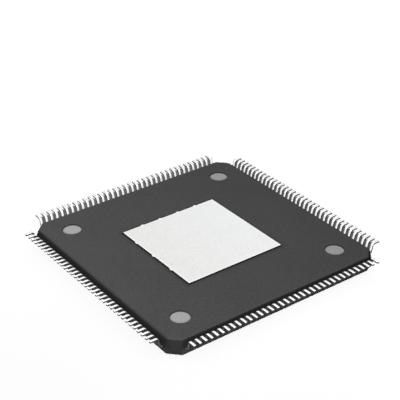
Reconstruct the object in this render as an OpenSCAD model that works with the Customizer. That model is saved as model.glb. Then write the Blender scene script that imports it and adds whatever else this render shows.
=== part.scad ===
// Quad flat pack chip: 144 gull-wing leads at 0.5 mm pitch around a 20 x 20 x 1.4 mm
// mould body, with an exposed die pad. It lies underside up, as it is handled
// before it is soldered: z = 0 is the plain top face of the body, which rests on
// the table, and +Z points out of the side that meets the circuit board.
// Origin: middle of that plain face. All sizes in millimetres.

/* [Mould body] */
// Width and length of the body at the parting line
body_size = 20; // [19.9:0.05:20.1]
// Height of the body between its two flat faces
body_height = 1.4; // [1.35:0.01:1.45]
// How much smaller each flat face is than the parting line, on each side
face_inset = 0.24; // [0.12:0.01:0.24]
// Corner chamfer at the parting line, along each side
corner_chamfer = 0.97; // [0.8:0.01:1.1]
// Small flat that softens each edge between a side and a corner chamfer
corner_ease = 0.045; // [0.02:0.005:0.06]
// Rounding of the edges around the two flat faces
edge_radius = 0.16; // [0.06:0.01:0.2]

/* [Round marks on the pad side] */
// Diameter of the four ejector marks
ejector_d = 1.56; // [1:0.02:2]
// Depth of the ejector marks
ejector_depth = 0.12; // [0.04:0.01:0.14]
// Distance of each ejector mark from the two centre planes
ejector_pos = 7.47; // [6.5:0.01:8]

/* [Dimples on the top face] */
// Diameter of the dimple that marks lead 1
pin_one_d = 1.0; // [0.8:0.05:1.3]
// Diameter of the smaller dimple at the opposite corner
second_dimple_d = 0.65; // [0.5:0.05:0.9]
// Depth of both dimples
dimple_depth = 0.07; // [0.03:0.01:0.1]
// Distance of the lead 1 dimple from the two centre planes
pin_one_pos = 7.7; // [7:0.05:8]
// Distance of the smaller dimple from the two centre planes
second_dimple_pos = 7.4; // [7:0.05:8]

/* [Leads] */
// Number of leads on each side
leads_per_side = 36; // [28:2:36]
// Distance between the middles of two neighbouring leads
lead_pitch = 0.5; // [0.48:0.005:0.5]
// Width of a lead
lead_width = 0.19; // [0.17:0.01:0.25]
// Thickness of the lead frame
frame_t = 0.13; // [0.1:0.005:0.15]
// Size over the tips of two opposite leads
tip_span = 22; // [21.8:0.05:22.2]
// Height of the foot soles above the pad side of the body
standoff = 0.15; // [0.05:0.01:0.15]
// Lean of the lead's leg from upright
leg_lean = 14; // [3:1:16]
// Inner radius of the bend next to the body
shoulder_r = 0.08; // [0.06:0.01:0.12]
// Inner radius of the bend above the foot
heel_r = 0.12; // [0.05:0.01:0.14]

/* [Exposed pad] */
// Side of the square exposed pad
pad_size = 8.97; // [8.6:0.01:9.2]
// How far the pad stands proud of the mould
pad_proud = 0.05; // [0.02:0.005:0.06]
// Radius of the small nubs on two edges of the pad
nub_r = 0.2; // [0.16:0.01:0.24]
// How far the nubs stand out from the pad's edge
nub_out = 0.1; // [0.05:0.01:0.1]

/* [Inside] */
// Side of the square silicon die
die_size = 6; // [5.6:0.1:6.2]
// Thickness of the die
die_t = 0.28; // [0.24:0.01:0.3]
// Thickness of the die attach layer
attach_t = 0.025; // [0.02:0.005:0.04]
// Thickness of the bond wires
wire_t = 0.025; // [0.02:0.005:0.03]
// Height of the wire loops over the inner fingers
loop_h = 0.235; // [0.18:0.005:0.26]
// Thickness of the lead-lock tape
tape_t = 0.075; // [0.05:0.005:0.1]
// Width of the lead-lock tape
tape_w = 0.9; // [0.6:0.1:1]

/* [Hidden] */

half = body_size / 2;
mid_z = body_height / 2;
frame_lo = mid_z - frame_t / 2;
frame_hi = mid_z + frame_t / 2;
sole_z = body_height + standoff;
tip_q = tip_span / 2;

// Lead number i counts along a side; its place is measured from the middle
function lead_t(i) = (i - (leads_per_side - 1) / 2) * lead_pitch;

// --- fans of inner fingers, in plan: t runs along a side, q away from the middle
fan_c = 1.0;        // the fingers aim at a point this far in front of the middle
knee_q = 9.2;       // where the fingers leave their straight outer run
tip_in_q = 5.6;     // inner ends of the fingers
finger_tip_w = 0.1;
finger_knee_w = 0.2;
function fan_slope(i) = lead_t(i) / (knee_q - fan_c);
function fan_at(i, q) = fan_slope(i) * (q - fan_c);
function fan_cos(i) = 1 / sqrt(1 + fan_slope(i) * fan_slope(i));

// --- side profile of a lead, in (q, z)
turn = 90 - leg_lean;
bend_q = half + 0.03;
heel_R = heel_r + frame_t;
shoulder_c = [bend_q, frame_hi + shoulder_r];
leg_len = ((sole_z - heel_R) + heel_R * cos(turn) - (frame_hi + shoulder_r)
           + shoulder_r * cos(turn)) / sin(turn);
heel_c = [bend_q + shoulder_r * sin(turn) + leg_len * cos(turn) + heel_R * sin(turn),
          sole_z - heel_R];
function arc(c, r, a0, a1, n) =
    [for (k = [0 : n]) let (a = a0 + (a1 - a0) * k / n) c + r * [cos(a), sin(a)]];
lead_side = concat(
    [[tip_in_q, frame_hi]],
    arc(shoulder_c, shoulder_r, -90, -90 + turn, 8),
    arc(heel_c, heel_R, 90 + turn, 90, 10),
    [[tip_q, sole_z], [tip_q, sole_z - frame_t]],
    arc(heel_c, heel_r, 90, 90 + turn, 8),
    arc(shoulder_c, shoulder_r + frame_t, -90 + turn, -90, 10),
    [[tip_in_q, frame_lo]]);

// --- outline of the body seen from one side, with the edges of both faces rounded
function unit(v) = v / norm(v);
function corner(a, b, c, r, n) =
    let (u = unit(a - b), v = unit(c - b), ang = acos(u * v),
         o = b + unit(u + v) * r / sin(ang / 2),
         p = b + u * r / tan(ang / 2) - o, s = b + v * r / tan(ang / 2) - o,
         a0 = atan2(p[1], p[0]), d = atan2(p[0] * s[1] - p[1] * s[0], p * s))
    [for (k = [0 : n]) o + r * [cos(a0 + d * k / n), sin(a0 + d * k / n)]];
function body_side(w) =
    let (lo_l = [-w + face_inset, 0], lo_r = [w - face_inset, 0],
         mid_r = [w, mid_z], hi_r = [w - face_inset, body_height],
         hi_l = [-w + face_inset, body_height], mid_l = [-w, mid_z])
    concat(corner(mid_l, lo_l, lo_r, edge_radius, 4),
           corner(lo_l, lo_r, mid_r, edge_radius, 4), [mid_r],
           corner(mid_r, hi_r, hi_l, edge_radius, 4),
           corner(hi_r, hi_l, mid_l, edge_radius, 4), [mid_l]);
chamfer_d = half * sqrt(2) - corner_chamfer / sqrt(2);
ease_d = half * cos(22.5) + (half - corner_chamfer) * sin(22.5) - corner_ease;

// --- heights inside, all measured from the plain face
pad_hi = body_height + pad_proud;
pad_lo = pad_hi - frame_t;
attach_lo = pad_lo - attach_t;
die_lo = attach_lo - die_t;
tie_hi = body_height - 0.03;   // thinned start of each tie bar, covered by the mould

module prism(w, a) {
    rotate([0, 0, a]) rotate([90, 0, 0])
        linear_extrude(height = body_size * 1.6, center = true) polygon(body_side(w));
}

module body_blank() {
    intersection() {
        prism(half, 0);
        prism(half, 90);
        prism(chamfer_d, 45);
        prism(chamfer_d, 135);
        prism(ease_d, 22.5);
        prism(ease_d, 67.5);
        prism(ease_d, 112.5);
        prism(ease_d, 157.5);
    }
}

// One lead: its plan shape and its side profile cut from the same strip
module lead(i) {
    a = finger_tip_w / 2 / fan_cos(i);
    b = finger_knee_w / 2 / fan_cos(i);
    t = lead_t(i);
    s = fan_at(i, tip_in_q);
    w = lead_width / 2;
    intersection() {
        translate([0, 0, frame_lo - 0.2]) linear_extrude(height = sole_z - frame_lo + 0.4)
            polygon([[s - a, tip_in_q - 0.001], [s + a, tip_in_q - 0.001], [t + b, knee_q],
                     [t + w, knee_q + 0.16], [t + w, tip_q + 0.1], [t - w, tip_q + 0.1],
                     [t - w, knee_q + 0.16], [t - b, knee_q]]);
        rotate([90, 0, 90]) linear_extrude(height = 22, center = true) polygon(lead_side);
    }
}

// A row of leads on the side that +Y points to
module lead_row() {
    for (i = [0 : leads_per_side - 1]) lead(i);
}

// A loop of wire in the plane from the die (0, za) to x = len, where it meets zb
module loop_shape(len, za, zb, top) {
    h = wire_t / 2;
    linear_extrude(height = wire_t, center = true)
        polygon([[-0.035, za], [-0.035, za - 0.02], [-h, za - 0.02], [-h, top + 0.09],
                 [0.05, top], [0.3 * len, top], [len - 0.06, zb - 0.035],
                 [len + 0.05, zb - 0.014], [len + 0.05, zb], [len - 0.06, zb],
                 [0.3 * len, top + wire_t], [0.07, top + wire_t], [h, top + 0.1],
                 [h, za - 0.02], [0.035, za - 0.02], [0.035, za]]);
}

die_pad_v = die_size / 2 - 0.15;   // bond pads of the die, in from its edge
bond_pitch = 0.15;
ground_at = 9;                     // place of the ground wires, in bond pitches
module wire(u0, v0, u1, v1, za, zb, top) {
    d = [u1 - u0, v1 - v0];
    translate([u0, v0, 0]) rotate([0, 0, atan2(d[1], d[0])]) rotate([90, 0, 0])
        loop_shape(norm(d), za, zb, top);
}

// Bond wires on the side that +Y points to
module wire_row() {
    q1 = tip_in_q + 0.2;
    for (i = [0 : leads_per_side - 1])
        wire((i - (leads_per_side - 1) / 2) * bond_pitch, die_pad_v, fan_at(i, q1), q1,
             die_lo, frame_lo, frame_lo - loop_h);
    // two ground wires, each between two signal wires, down to the pad beside the die
    for (n = [-ground_at, ground_at]) {
        u = n * bond_pitch;
        wire(u, die_pad_v, u + 0.36 * (fan_at(n + (leads_per_side - 1) / 2, q1) - u),
             die_pad_v + 0.36 * (q1 - die_pad_v), die_lo, pad_lo, die_lo - 0.16);
    }
}

module tie_bar() {
    rotate([90, 0, 0]) linear_extrude(height = 0.24, center = true)
        polygon([[6.0, pad_lo], [6.62, pad_lo], [7.62, frame_lo], [chamfer_d + 0.02, frame_lo],
                 [chamfer_d + 0.02, frame_hi], [7.66, frame_hi], [6.764, tie_hi], [6.0, tie_hi]]);
}

module mould_cavities() {
    die_pad();
    leads_left();
    leads_right();
    leads_front();
    leads_back();
    lead_tape();
    die_attach();
    die();
    wires_left();
    wires_right();
    wires_front();
    wires_back();
}

// Black epoxy moulded around everything else, with the marks of the mould in its faces
module mould_body() {
    color([0.30, 0.30, 0.30])
    difference() {
        body_blank();
        for (x = [-1, 1], y = [-1, 1])
            translate([x * ejector_pos, y * ejector_pos, body_height - ejector_depth])
                cylinder(d = ejector_d, h = 1, $fn = 96);
        translate([pin_one_pos, pin_one_pos, -1])
            cylinder(d = pin_one_d, h = 1 + dimple_depth, $fn = 96);
        translate([-second_dimple_pos, -second_dimple_pos, -1])
            cylinder(d = second_dimple_d, h = 1 + dimple_depth, $fn = 96);
        mould_cavities();
    }
}

// Exposed pad and its four corner tie bars, stamped and pressed from one sheet
module die_pad() {
    color([0.90, 0.90, 0.89])
    union() {
        translate([0, 0, pad_lo]) linear_extrude(height = frame_t) union() {
            square(pad_size, center = true);
            for (x = [-2.63, -0.885, 0.885, 2.63])
                translate([x, pad_size / 2 + nub_out - nub_r]) circle(r = nub_r, $fn = 32);
            for (y = [-2.16, 0.2, 2.56])
                translate([-pad_size / 2 - nub_out + nub_r, y]) circle(r = nub_r, $fn = 32);
        }
        for (a = [45, 135, 225, 315]) rotate([0, 0, a]) tie_bar();
    }
}

module leads_back() { color([0.85, 0.85, 0.85]) lead_row(); }
module leads_left() { color([0.85, 0.85, 0.85]) rotate([0, 0, 90]) lead_row(); }
module leads_front() { color([0.85, 0.85, 0.85]) rotate([0, 0, 180]) lead_row(); }
module leads_right() { color([0.85, 0.85, 0.85]) rotate([0, 0, 270]) lead_row(); }

// Ring of polyimide tape bonded across the inner fingers and the tie bars
module lead_tape() {
    color([0.80, 0.55, 0.15])
    translate([0, 0, frame_lo - tape_t]) linear_extrude(height = tape_t) difference() {
        square(2 * (7.5 + tape_w), center = true);
        square(2 * 7.5, center = true);
    }
}

// Silver-filled epoxy between the die and the pad
module die_attach() {
    color([0.70, 0.70, 0.72])
    translate([0, 0, attach_lo + attach_t / 2])
        cube([die_size + 0.3, die_size + 0.3, attach_t], center = true);
}

module die() {
    color([0.35, 0.37, 0.45])
    translate([0, 0, die_lo + die_t / 2]) cube([die_size, die_size, die_t], center = true);
}

module wires_back() { color([0.95, 0.75, 0.30]) wire_row(); }
module wires_left() { color([0.95, 0.75, 0.30]) rotate([0, 0, 90]) wire_row(); }
module wires_front() { color([0.95, 0.75, 0.30]) rotate([0, 0, 180]) wire_row(); }
module wires_right() { color([0.95, 0.75, 0.30]) rotate([0, 0, 270]) wire_row(); }

mould_body();
die_pad();
leads_left();
leads_right();
leads_front();
leads_back();
lead_tape();
die_attach();
die();
wires_left();
wires_right();
wires_front();
wires_back();
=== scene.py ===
import math

import bpy
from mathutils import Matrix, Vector

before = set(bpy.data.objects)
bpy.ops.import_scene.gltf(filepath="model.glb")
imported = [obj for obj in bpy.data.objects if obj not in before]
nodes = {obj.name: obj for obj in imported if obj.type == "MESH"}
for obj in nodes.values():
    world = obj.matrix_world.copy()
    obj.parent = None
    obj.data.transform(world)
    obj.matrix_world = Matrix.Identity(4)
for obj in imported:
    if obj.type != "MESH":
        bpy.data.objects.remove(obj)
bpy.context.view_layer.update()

MM = 0.001


# ---------------------------------------------------------------- node helpers
class Tree:
    """A material's node tree with short calls for the nodes used below."""

    def __init__(self, name):
        self.mat = bpy.data.materials.new(name)
        self.mat.use_nodes = True
        self.nt = self.mat.node_tree
        self.bsdf = self.nt.nodes["Principled BSDF"]
        tc = self.nt.nodes.new("ShaderNodeTexCoord")
        mul = self.nt.nodes.new("ShaderNodeVectorMath")
        mul.operation = "MULTIPLY"
        mul.inputs[1].default_value = (1000, 1000, 1000)
        self.nt.links.new(tc.outputs["Object"], mul.inputs[0])
        self.pos = mul.outputs[0]                       # position in millimetres
        sep = self.nt.nodes.new("ShaderNodeSeparateXYZ")
        self.nt.links.new(self.pos, sep.inputs[0])
        self.x, self.y, self.z = sep.outputs
        geo = self.nt.nodes.new("ShaderNodeNewGeometry")
        self.normal = geo.outputs["Normal"]
        self.flat_normal = geo.outputs["True Normal"]

    def put(self, socket, value):
        if isinstance(value, bpy.types.NodeSocket):
            self.nt.links.new(value, socket)
        else:
            socket.default_value = value

    def math(self, op, a, b=0.0, c=0.0, clamp=False):
        n = self.nt.nodes.new("ShaderNodeMath")
        n.operation = op
        n.use_clamp = clamp
        for s, v in zip(n.inputs, (a, b, c)):
            self.put(s, v)
        return n.outputs[0]

    def vec(self, op, a, b=(0, 0, 0)):
        n = self.nt.nodes.new("ShaderNodeVectorMath")
        n.operation = op
        self.put(n.inputs[0], a)
        self.put(n.inputs[1], b)
        return n.outputs["Value"] if op in ("LENGTH", "DOT_PRODUCT") else n.outputs[0]

    def noise(self, scale, detail=4.0, rough=0.55, vector=None):
        n = self.nt.nodes.new("ShaderNodeTexNoise")
        self.put(n.inputs["Vector"], vector or self.pos)
        n.inputs["Scale"].default_value = scale
        n.inputs["Detail"].default_value = detail
        n.inputs["Roughness"].default_value = rough
        return n.outputs["Fac"]

    def ramp(self, value, lo, hi, to_lo=0.0, to_hi=1.0, smooth=False):
        n = self.nt.nodes.new("ShaderNodeMapRange")
        n.interpolation_type = "SMOOTHSTEP" if smooth else "LINEAR"
        self.put(n.inputs["Value"], value)
        for key, v in (("From Min", lo), ("From Max", hi), ("To Min", to_lo), ("To Max", to_hi)):
            self.put(n.inputs[key], v)
        return n.outputs["Result"]

    def mix(self, fac, a, b, blend="MIX"):
        n = self.nt.nodes.new("ShaderNodeMix")
        n.data_type = "RGBA"
        n.blend_type = blend
        self.put(n.inputs["Factor"], fac)
        ins = [s for s in n.inputs if s.type == "RGBA"]
        for s, v in zip(ins, (a, b)):
            self.put(s, v if isinstance(v, bpy.types.NodeSocket) else (*v, 1.0))
        return [s for s in n.outputs if s.type == "RGBA"][0]

    def grey(self, value):
        n = self.nt.nodes.new("ShaderNodeCombineColor")
        for s in n.inputs:
            self.put(s, value)
        return n.outputs[0]

    def bump(self, height, distance, strength=1.0, normal=None):
        n = self.nt.nodes.new("ShaderNodeBump")
        n.inputs["Strength"].default_value = strength
        n.inputs["Distance"].default_value = distance
        self.put(n.inputs["Height"], height)
        if normal is not None:
            self.put(n.inputs["Normal"], normal)
        return n.outputs[0]

    def set(self, **values):
        for key, v in values.items():
            s = self.bsdf.inputs[key.replace("_", " ")]
            self.put(s, (*v, 1.0) if isinstance(v, tuple) and len(v) == 3 and s.type == "RGBA" else v)


def disc_mask(t, cx, cy, cz, r, soft, mirrored=False):
    """1 on the floor of a round recess of radius r around (cx, cy) at height cz, 0 elsewhere."""
    p = t.vec("ABSOLUTE", t.pos) if mirrored else t.pos
    flat = t.vec("MULTIPLY", t.vec("SUBTRACT", p, (cx, cy, 0)), (1, 1, 0))
    inside = t.ramp(t.vec("LENGTH", flat), r - soft, r, 1.0, 0.0, smooth=True)
    level = t.ramp(t.math("ABSOLUTE", t.math("SUBTRACT", t.z, cz)), 0.010, 0.016, 1.0, 0.0)
    return t.math("MULTIPLY", inside, level)


# ---------------------------------------------------------------- materials
def mould_compound():
    t = Tree("mould_compound")
    grain = t.noise(7.0, 5.0, 0.66)
    fine = t.noise(26.0, 3.0, 0.6)
    broad = t.noise(0.22, 2.0, 0.5)
    tone = t.math("ADD", t.math("MULTIPLY", grain, 0.62),
                  t.math("ADD", t.math("MULTIPLY", fine, 0.26), t.math("MULTIPLY", broad, 0.12)))
    base = t.mix(t.ramp(tone, 0.36, 0.64), (0.038, 0.038, 0.039), (0.068, 0.068, 0.069))
    # the flat round marks the ejector pins and the mould leave are smoother and paler
    marks = disc_mask(t, 7.47, 7.47, 1.28, 0.772, 0.05, mirrored=True)
    one = disc_mask(t, 7.7, 7.7, 0.07, 0.492, 0.05)
    two = disc_mask(t, -7.4, -7.4, 0.07, 0.318, 0.05)
    pale = t.mix(t.ramp(grain, 0.3, 0.7), (0.275, 0.275, 0.28), (0.34, 0.34, 0.345))
    base = t.mix(marks, base, pale)
    dull = t.mix(t.ramp(grain, 0.3, 0.7), (0.13, 0.13, 0.13), (0.18, 0.18, 0.18))
    base = t.mix(t.math("ADD", one, two), base, dull)
    # painted shade: the drafted sides and rounded edges are painted darker than the faces by the way they face,
    # the corner facets a little less dark
    n = t.nt.nodes.new("ShaderNodeSeparateXYZ")
    t.put(n.inputs[0], t.normal)
    side = t.ramp(t.math("ABSOLUTE", n.outputs[2]), 0.93, 0.40, 0.0, 1.0)
    wall = t.mix(t.ramp(tone, 0.36, 0.64), (0.007, 0.007, 0.007), (0.015, 0.015, 0.015))
    facet = t.mix(t.ramp(tone, 0.36, 0.64), (0.008, 0.008, 0.008), (0.018, 0.018, 0.018))
    corner = t.ramp(t.math("MINIMUM", t.math("ABSOLUTE", n.outputs[0]), t.math("ABSOLUTE", n.outputs[1])),
                    0.25, 0.50)
    painted_side_shade = t.mix(corner, wall, facet)
    # painted light from below: the walls' lower halves, which face down, are painted paler than their upper
    # halves
    under = t.mix(t.ramp(tone, 0.36, 0.64), (0.048, 0.048, 0.049), (0.074, 0.074, 0.075))
    under = t.mix(corner, under, t.mix(t.ramp(tone, 0.36, 0.64), (0.026, 0.026, 0.027), (0.044, 0.044, 0.045)))
    base = t.mix(side, base, t.mix(t.ramp(n.outputs[2], 0.1, -0.1), painted_side_shade, under))
    # painted shade: two of the face's rims are painted darker where they turn over, and a painted shadow lies
    # in a thin margin round the pad, a little wider on two sides
    painted_rim_shading = t.ramp(t.math("ABSOLUTE", t.x), 9.52, 9.80, 0.0, 0.68, smooth=True)
    painted_pad_shadow = t.math("SUBTRACT", t.math("MAXIMUM", t.math("ABSOLUTE", t.math("ADD", t.x, 0.06)),
                                       t.math("ABSOLUTE", t.math("ADD", t.y, 0.06))), 4.485)
    painted_pad_shadow = t.math("ADD", t.ramp(painted_pad_shadow, 0.05, 0.14, 0.66, 0.0), t.ramp(painted_pad_shadow, 0.05, 0.46, 0.30, 0.0))
    painted_edge_shade = t.math("MAXIMUM", t.math("MULTIPLY", painted_rim_shading, t.ramp(n.outputs[2], 0.30, 0.40)),
                  t.math("MULTIPLY", painted_pad_shadow, t.ramp(n.outputs[2], 0.90, 0.98)))
    base = t.mix(painted_edge_shade, base, (0.004, 0.004, 0.004))
    # painted light falloff: the compound is painted a little paler towards one corner
    painted_light_falloff = t.ramp(t.math("MULTIPLY_ADD", t.y, -0.55, t.x), -15.0, 15.0, 1.13, 0.83)
    base = t.mix(1.0, base, t.grey(painted_light_falloff), "MULTIPLY")
    rough = t.ramp(t.math("ADD", t.math("MULTIPLY", grain, 0.5), t.math("MULTIPLY", fine, 0.5)),
                   0.3, 0.7, 0.66, 0.84)
    smooth = t.math("ADD", marks, t.math("ADD", one, two), clamp=True)
    rough = t.math("MULTIPLY_ADD", smooth, -0.18, rough)
    height = t.math("ADD", t.math("MULTIPLY", grain, 0.65), t.math("MULTIPLY", fine, 0.35))
    height = t.math("MULTIPLY", height, t.math("MULTIPLY_ADD", smooth, -0.75, 1.0))
    t.set(Base_Color=base, Roughness=rough, Normal=t.bump(height, 0.010 * MM, 0.5))
    t.bsdf.inputs["Specular IOR Level"].default_value = 0.22
    return t.mat


def tin(name, low, high, flank_shade_tone, end_tone, metal, rough_lo, rough_hi):
    """Matte tin plating. The cut ends are duller than the plated flats. The sides of the leads, the outer faces
    of the legs and the low parts near the body are painted darker, as painted shade.
    """
    t = Tree(name)
    cloud = t.noise(2.6, 4.0, 0.6)
    grain = t.noise(26.0, 4.0, 0.65)
    fine = t.noise(80.0, 2.0, 0.6)
    tone = t.math("ADD", t.math("MULTIPLY", cloud, 0.5), t.math("MULTIPLY", grain, 0.5))
    base = t.mix(t.ramp(tone, 0.33, 0.67), low, high)
    if flank_shade_tone is not None:
        ax, ay = t.math("ABSOLUTE", t.x), t.math("ABSOLUTE", t.y)
        n = t.nt.nodes.new("ShaderNodeSeparateXYZ")
        t.put(n.inputs[0], t.flat_normal)
        nx = t.math("ABSOLUTE", n.outputs[0])
        ny = t.math("ABSOLUTE", n.outputs[1])
        on_x = t.math("GREATER_THAN", ax, ay)           # rows at the +X and -X sides
        # painted shade: the sides of the leads, which face into the narrow gaps between them, are painted dark,
        # a little paler low down
        shaded_flank = t.math("ADD", t.math("MULTIPLY", on_x, ny),
                       t.math("MULTIPLY", t.math("SUBTRACT", 1.0, on_x), nx))
        shaded_flank = t.ramp(shaded_flank, 0.75, 0.95)
        out = t.math("MAXIMUM", ax, ay)
        front = t.math("ADD", t.math("MULTIPLY", on_x, nx),
                       t.math("MULTIPLY", t.math("SUBTRACT", 1.0, on_x), ny))
        cut = t.math("MULTIPLY", t.ramp(front, 0.75, 0.95), t.math("GREATER_THAN", out, 10.97))
        # painted shade: the outer face of each leg, and the leg and shoulder low down near the body, are
        # painted duller than the inner face and the foot
        outward = t.math("ADD", t.math("MULTIPLY", on_x, t.math("MULTIPLY", n.outputs[0], t.math("SIGN", t.x))),
                         t.math("MULTIPLY", t.math("SUBTRACT", 1.0, on_x),
                                t.math("MULTIPLY", n.outputs[1], t.math("SIGN", t.y))))
        painted_leg_shade = t.math("MAXIMUM", t.ramp(outward, 0.45, 0.85), t.ramp(t.z, 1.00, 0.84))
        base = t.mix(painted_leg_shade, base, t.mix(t.ramp(grain, 0.3, 0.7), (0.115, 0.114, 0.112), (0.18, 0.178, 0.175)))
        shaded_flank_tone = t.mix(t.ramp(grain, 0.3, 0.7), flank_shade_tone, tuple(min(1.0, v * 1.25) for v in flank_shade_tone))
        shaded_flank_tone = t.mix(t.ramp(t.z, 1.40, 1.28, 0.0, 0.6), shaded_flank_tone, (0.085, 0.083, 0.081))
        base = t.mix(shaded_flank, base, shaded_flank_tone)
        base = t.mix(cut, base, t.mix(t.ramp(grain, 0.35, 0.65), end_tone,
                                      tuple(min(1.0, v * 1.5) for v in end_tone)))
    rough = t.ramp(t.math("ADD", t.math("MULTIPLY", grain, 0.6), t.math("MULTIPLY", cloud, 0.4)),
                   0.3, 0.7, rough_lo, rough_hi)
    height = t.math("ADD", t.math("MULTIPLY", grain, 0.6), t.math("MULTIPLY", fine, 0.4))
    t.set(Base_Color=base, Roughness=rough, Normal=t.bump(height, 0.004 * MM, 0.35))
    t.bsdf.inputs["Metallic"].default_value = metal
    return t.mat


def pad_plating():
    t = Tree("plated_pad")
    cloud = t.noise(0.8, 3.0, 0.55)
    grain = t.noise(8.0, 5.0, 0.68)
    fine = t.noise(40.0, 2.0, 0.6)
    # painted light: the pad is painted paler and cooler towards one side
    across = t.ramp(t.math("MULTIPLY_ADD", t.y, 0.15, t.x), -4.5, 4.5)
    warm = t.mix(t.ramp(grain, 0.35, 0.65), (0.775, 0.770, 0.750), (0.885, 0.880, 0.862))
    cool = t.mix(t.ramp(grain, 0.35, 0.65), (0.885, 0.895, 0.905), (0.965, 0.970, 0.975))
    base = t.mix(across, warm, cool)
    base = t.mix(t.ramp(cloud, 0.3, 0.7, 0.0, 0.10), base, (0.95, 0.95, 0.95))
    # painted highlight: the pad's rim is painted a little brighter
    painted_rim_shading = t.ramp(t.math("MAXIMUM", t.math("ABSOLUTE", t.x), t.math("ABSOLUTE", t.y)), 4.30, 4.40)
    base = t.mix(t.math("MULTIPLY", painted_rim_shading, 0.6), base, (1.0, 1.0, 1.0))
    # the pad's edge walls are painted dark as painted shade, and below the mould's surface the metal is dull
    n = t.nt.nodes.new("ShaderNodeSeparateXYZ")
    t.put(n.inputs[0], t.normal)
    edge = t.ramp(n.outputs[2], 0.55, 0.25)
    base = t.mix(edge, base, (0.014, 0.013, 0.012))
    far = t.ramp(t.vec("LENGTH", t.vec("MULTIPLY", t.pos, (1, 1, 0))), 12.0, 12.5)
    base = t.mix(far, base, t.mix(t.ramp(grain, 0.35, 0.65), (0.018, 0.018, 0.018), (0.030, 0.030, 0.030)))
    rough = t.ramp(t.math("ADD", t.math("MULTIPLY", grain, 0.6), t.math("MULTIPLY", cloud, 0.4)),
                   0.3, 0.7, 0.46, 0.60)
    height = t.math("ADD", t.math("MULTIPLY", grain, 0.7), t.math("MULTIPLY", fine, 0.3))
    t.set(Base_Color=base, Roughness=rough, Normal=t.bump(height, 0.006 * MM, 0.35))
    t.bsdf.inputs["Metallic"].default_value = 0.25
    return t.mat


def plain_noise(name, low, high, scale, rough_lo, rough_hi, metal=0.0, bump=0.003):
    t = Tree(name)
    a = t.noise(scale, 4.0, 0.6)
    b = t.noise(scale * 5.0, 3.0, 0.6)
    f = t.ramp(t.math("ADD", t.math("MULTIPLY", a, 0.6), t.math("MULTIPLY", b, 0.4)), 0.33, 0.67)
    t.set(Base_Color=t.mix(f, low, high), Roughness=t.ramp(f, 0.0, 1.0, rough_lo, rough_hi),
          Normal=t.bump(b, bump * MM, 0.3))
    t.bsdf.inputs["Metallic"].default_value = metal
    return t.mat


compound = mould_compound()
leads = tin("tinned_leads", (0.84, 0.84, 0.84), (0.93, 0.93, 0.93),
            (0.052, 0.051, 0.050), (0.085, 0.083, 0.081), 0.30, 0.42, 0.56)
pad = pad_plating()
inner = {
    "lead_tape": plain_noise("polyimide_tape", (0.55, 0.27, 0.04), (0.66, 0.36, 0.07), 3.0, 0.25, 0.38),
    "die_attach": plain_noise("silver_epoxy", (0.50, 0.50, 0.51), (0.62, 0.62, 0.63), 12.0, 0.45, 0.6, 0.6),
    "die": plain_noise("silicon", (0.20, 0.22, 0.28), (0.24, 0.26, 0.32), 4.0, 0.12, 0.2, 0.8),
}
gold = plain_noise("gold_wire", (0.93, 0.69, 0.27), (0.97, 0.76, 0.35), 20.0, 0.2, 0.3, 1.0)


def finish_mesh(name, material, bevel=None, segments=2, split=32.0):
    """Gives a CAD piece its material, smooth shading across small angles and, if asked, worn edges."""
    o = nodes[name]
    o.data.materials.clear()
    o.data.materials.append(material)
    for p in o.data.polygons:
        p.use_smooth = True
        p.material_index = 0
    if "custom_normal" in o.data.attributes:
        o.data.attributes.remove(o.data.attributes["custom_normal"])
    if "sharp_edge" in o.data.attributes:
        o.data.attributes.remove(o.data.attributes["sharp_edge"])
    weld = o.modifiers.new("weld", "WELD")
    weld.merge_threshold = 2e-7
    if bevel:
        flat = o.modifiers.new("flats", "DECIMATE")
        flat.decimate_type = "DISSOLVE"
        flat.angle_limit = math.radians(0.5)
        b = o.modifiers.new("edges", "BEVEL")
        b.width = bevel * MM
        b.segments = segments
        b.limit_method = "ANGLE"
        b.angle_limit = math.radians(35)
        b.miter_outer = "MITER_SHARP"
        b.use_clamp_overlap = True
    else:
        s = o.modifiers.new("creases", "EDGE_SPLIT")
        s.split_angle = math.radians(split)
        s.use_edge_sharp = False
    w = o.modifiers.new("normals", "WEIGHTED_NORMAL")
    w.mode = "FACE_AREA"
    w.weight = 80
    w.keep_sharp = False
    return o


finish_mesh("mould_body", compound)
finish_mesh("die_pad", pad, bevel=0.012)
for side in ("left", "right", "front", "back"):
    finish_mesh("leads_" + side, leads, bevel=0.010)
    finish_mesh("wires_" + side, gold)
for name, material in inner.items():
    finish_mesh(name, material)

# ---------------------------------------------------------------- floor, light and camera
scene = bpy.context.scene
scene.view_settings.view_transform = "Standard"
scene.view_settings.look = "None"
scene.view_settings.exposure = 0.0
scene.view_settings.gamma = 1.0

AZ, EL, DIST = math.radians(-36.7169), math.radians(29.8991), 0.0926775
look = Vector((-math.cos(EL) * math.sin(AZ), math.cos(EL) * math.cos(AZ), -math.sin(EL)))
aim = Vector((3.6391, 5.0626, 1.4028)) * MM
eye = aim - look * DIST
floor_lamp_at = eye

# The floor's own lamp is low and in front, so the chip hides its shadow. The floor
# is a little paler further from the lamp, which keeps it evenly lit.
bpy.ops.mesh.primitive_plane_add(size=3.0, location=(0, 0, -0.00001))
floor = bpy.context.object
floor.name = "floor"
ft = Tree("floor")
away = ft.vec("LENGTH", ft.vec("SUBTRACT", ft.pos, tuple(floor_lamp_at / MM)))
slant = ft.math("DIVIDE", away, floor_lamp_at.z / MM)
tone = ft.math("MULTIPLY", slant, ft.ramp(ft.noise(0.02, 2.0), 0.3, 0.7, 0.054, 0.056))
tone = ft.math("MINIMUM", tone, 0.9)
ft.set(Base_Color=ft.grey(tone), Roughness=0.9)
ft.bsdf.inputs["Specular IOR Level"].default_value = 0.0
floor.data.materials.append(ft.mat)
floor.visible_diffuse = False
floor.visible_glossy = False

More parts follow.
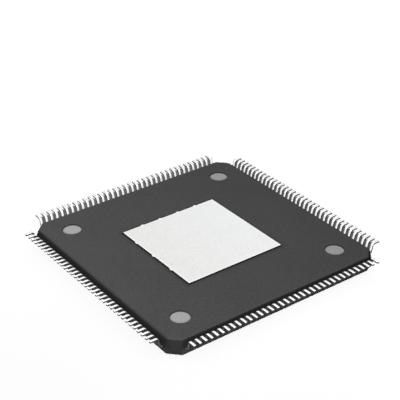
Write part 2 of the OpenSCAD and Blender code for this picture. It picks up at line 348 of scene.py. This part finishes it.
world = bpy.data.worlds.new("studio")
scene.world = world
world.use_nodes = True
wn = world.node_tree.nodes
wl = world.node_tree.links
bg = wn["Background"]
coord = wn.new("ShaderNodeTexCoord")
sep = wn.new("ShaderNodeSeparateXYZ")
wl.new(coord.outputs["Generated"], sep.inputs[0])
band = wn.new("ShaderNodeValToRGB")
el = band.color_ramp.elements
el[0].position = 0.62
el[0].color = (0.06, 0.06, 0.06, 1)
el[1].position = 0.88
el[1].color = (1.0, 1.0, 1.01, 1)
up = wn.new("ShaderNodeMapRange")
up.inputs["From Min"].default_value = -1.0
up.inputs["From Max"].default_value = 1.0
wl.new(sep.outputs[2], up.inputs["Value"])
wl.new(up.outputs["Result"], band.inputs["Fac"])
wl.new(band.outputs["Color"], bg.inputs["Color"])
bg.inputs["Strength"].default_value = 0.50
# behind the floor's edge the room is as pale as the floor
room = wn.new("ShaderNodeBackground")
room.inputs["Color"].default_value = (1.0, 1.0, 1.0, 1)
seen = wn.new("ShaderNodeLightPath")
both = wn.new("ShaderNodeMixShader")
wl.new(seen.outputs["Is Camera Ray"], both.inputs[0])
wl.new(bg.outputs[0], both.inputs[1])
wl.new(room.outputs[0], both.inputs[2])
wl.new(both.outputs[0], wn["World Output"].inputs["Surface"])


def group(name, *objs):
    c = bpy.data.collections.new(name)
    for o in objs:
        c.objects.link(o)
    return c


chip_only = group("chip_only", *nodes.values())
leads_only = group("leads_only", *(nodes["leads_" + side] for side in ("left", "right", "front", "back")))
floor_only = group("floor_only", floor)


far_leads = group("far_leads", nodes["leads_back"], nodes["leads_right"])
front_part = group("front_part", *(o for n, o in nodes.items() if n not in ("leads_back", "leads_right")))


def softbox(name, where, size, power, lit=chip_only, blockers=chip_only):
    data = bpy.data.lights.new(name, "AREA")
    data.shape = "SQUARE"
    data.size = size
    data.energy = power
    o = bpy.data.objects.new(name, data)
    scene.collection.objects.link(o)
    o.location = where
    o.rotation_euler = (-Vector(where)).to_track_quat("-Z", "Y").to_euler()
    o.visible_camera = False
    o.light_linking.receiver_collection = lit
    o.light_linking.blocker_collection = blockers
    return o


softbox("front", (-0.098, -0.122, 0.085), 0.10, 0.37, front_part)
softbox("overhead", (-0.055, 0.035, 0.11), 0.08, 0.055)
softbox("leads", (-0.070, -0.085, 0.100), 0.06, 0.085, leads_only, leads_only)
# the two far rows get the front light without the shade of the body in front of them
softbox("front_rows", (-0.098, -0.122, 0.085), 0.10, 0.40, far_leads, leads_only)


def flag(name, alpha, corners):
    """A nearly opaque card in front of the floor's lamp, which shades the floor between the far legs."""
    mesh = bpy.data.meshes.new(name)
    mesh.from_pydata([floor_lamp_at + (Vector(c) * MM - floor_lamp_at) * 0.35 for c in corners],
                     [], [(0, 1, 2, 3)])
    o = bpy.data.objects.new(name, mesh)
    scene.collection.objects.link(o)
    t = Tree(name)
    t.set(Base_Color=t.mix(t.noise(0.3), (0.010, 0.010, 0.010), (0.014, 0.014, 0.014)), Roughness=0.9,
          Alpha=alpha)
    mesh.materials.append(t.mat)
    o.visible_camera = False
    o.visible_diffuse = False
    o.visible_glossy = False
    o.visible_transmission = False
    return o


ROW_END, LOW, HIGH = 8.86, (10.12, 0.85), (10.34, 1.60)
flags = [flag("flag_back", 0.95, [(-ROW_END, *LOW), (ROW_END, *LOW), (ROW_END, *HIGH), (-ROW_END, *HIGH)]),
         flag("flag_right", 0.99, [(LOW[0], -ROW_END, LOW[1]), (LOW[0], ROW_END, LOW[1]),
                                   (HIGH[0], ROW_END, HIGH[1]), (HIGH[0], -ROW_END, HIGH[1])])]


def floor_lamp(name, power, blockers):
    """A small lamp that lights the floor alone, equally strong at every distance."""
    data = bpy.data.lights.new(name, "POINT")
    data.shadow_soft_size = 0.00005
    data.energy = power
    data.use_nodes = True
    ln = data.node_tree.nodes
    falloff = ln.new("ShaderNodeLightFalloff")
    falloff.inputs["Strength"].default_value = 1.0
    data.node_tree.links.new(falloff.outputs["Constant"], ln["Emission"].inputs["Strength"])
    o = bpy.data.objects.new(name, data)
    scene.collection.objects.link(o)
    o.location = floor_lamp_at
    o.visible_camera = False
    o.light_linking.receiver_collection = floor_only
    o.light_linking.blocker_collection = group(name + "_shades", *blockers)
    return o


# most of the floor's light passes the chip, so its shadow stays pale, and a wide box
# high above gives the soft shade under the leads
floor_lamp("floor_lamp", 300.0, [*nodes.values(), *flags])
floor_lamp("floor_fill", 355.0, flags)
softbox("floor_soft", (0.0, 0.0, 1.0), 0.9, 6.0, floor_only)

cam_data = bpy.data.cameras.new("camera")
cam = bpy.data.objects.new("camera", cam_data)
scene.collection.objects.link(cam)
scene.camera = cam
cam_data.sensor_width = 36.0
cam_data.lens = 98.615
cam_data.clip_start = 0.001
cam_data.clip_end = 10.0
cam.location = eye
cam.rotation_euler = look.to_track_quat("-Z", "Y").to_euler()
